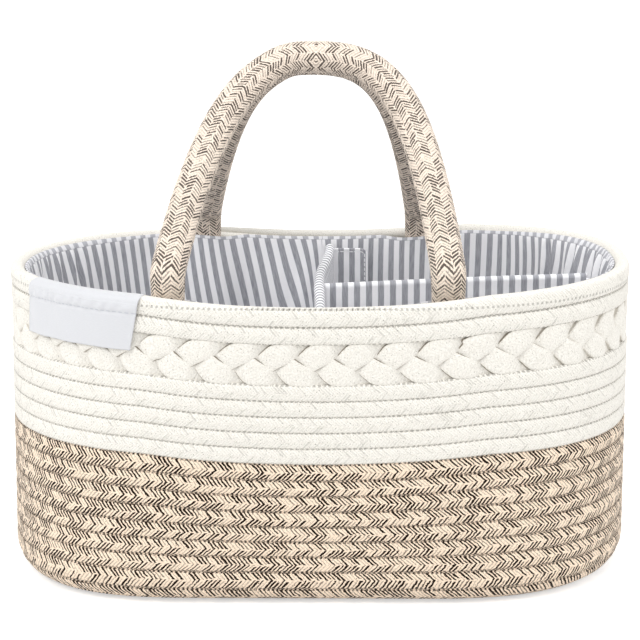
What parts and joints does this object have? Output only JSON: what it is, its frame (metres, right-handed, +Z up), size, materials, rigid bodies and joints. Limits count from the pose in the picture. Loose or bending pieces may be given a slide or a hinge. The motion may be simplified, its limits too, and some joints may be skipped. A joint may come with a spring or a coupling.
{
  "type": "diaper caddy",
  "caption": "Oval coiled-rope nursery caddy with a plaited band, striped liner, lift-out divider and two folding rope handles.",
  "frame": {"origin": "middle of the flat underside, on the surface that the caddy stands on", "axes": "+X along the long side, +Y across the short side from front to back, +Z up"},
  "size_m": [0.38, 0.25, 0.3136],
  "materials": {
    "brown_rope": "woven cotton rope with dark brown flecks",
    "white_rope": "woven off-white cotton rope",
    "handle_rope": "herringbone braided cotton rope with dark brown flecks",
    "striped_cotton": "plain cotton with grey and white ticking stripes",
    "satin": "smooth white satin ribbon",
    "hook_tape": "hook tape",
    "loop_tape": "loop tape"
  },
  "bodies": {
    "root": {"base_rope_coil": "brown_rope", "wall_rope_brown": "brown_rope", "wall_rope_white": "white_rope", "rim_rope_white": "white_rope", "braid_strand_a": "white_rope", "braid_strand_b": "white_rope", "braid_strand_c": "white_rope", "liner_side": "striped_cotton", "liner_floor": "striped_cotton", "label": "satin", "handle_end_front_left": "handle_rope", "handle_end_front_right": "handle_rope", "handle_end_back_left": "handle_rope", "handle_end_back_right": "handle_rope", "loop_strip_back": "loop_tape", "loop_strip_front": "loop_tape", "loop_strip_end": "loop_tape"},
    "front_handle": {"handle_front": "handle_rope"},
    "back_handle": {"handle_back": "handle_rope"},
    "divider": {"divider_cross_wall": "striped_cotton"},
    "divider_arm_body": {"divider_arm": "striped_cotton"},
    "back_tab": {"tab_back": "striped_cotton", "hook_strip_back": "hook_tape"},
    "front_tab": {"tab_front": "striped_cotton", "hook_strip_front": "hook_tape"},
    "end_tab": {"tab_end": "striped_cotton", "hook_strip_end": "hook_tape"}
  },
  "joints": [
    {"name": "front_handle_fold", "type": "hinge", "parent": "root", "child": "front_handle", "pos_m": [0, -0.1043, 0.192], "axis": [1, 0, 0], "range_deg": [0, 125]},
    {"name": "back_handle_fold", "type": "hinge", "parent": "root", "child": "back_handle", "pos_m": [0, 0.1043, 0.192], "axis": [-1, 0, 0], "range_deg": [0, 125]},
    {"name": "divider_lift", "type": "slide", "parent": "root", "child": "divider", "axis": [0, 0, 1], "range_m": [0, 0.1]},
    {"name": "divider_arm_swing", "type": "hinge", "parent": "divider", "child": "divider_arm_body", "pos_m": [0.0086, -0.005, 0.1], "axis": [0, 0, 1], "range_deg": [-10, 10]},
    {"name": "back_tab_peel", "type": "hinge", "parent": "divider", "child": "back_tab", "pos_m": [0.0055, 0.1079, 0.109], "axis": [0, 0, -1], "range_deg": [0, 75]},
    {"name": "front_tab_peel", "type": "hinge", "parent": "divider", "child": "front_tab", "pos_m": [0.0055, -0.1079, 0.109], "axis": [0, 0, 1], "range_deg": [0, 75]},
    {"name": "end_tab_peel", "type": "hinge", "parent": "divider_arm_body", "child": "end_tab", "pos_m": [0.1645, 0.011, 0.109], "axis": [0, 0, -1], "range_deg": [0, 60]}
  ]
}
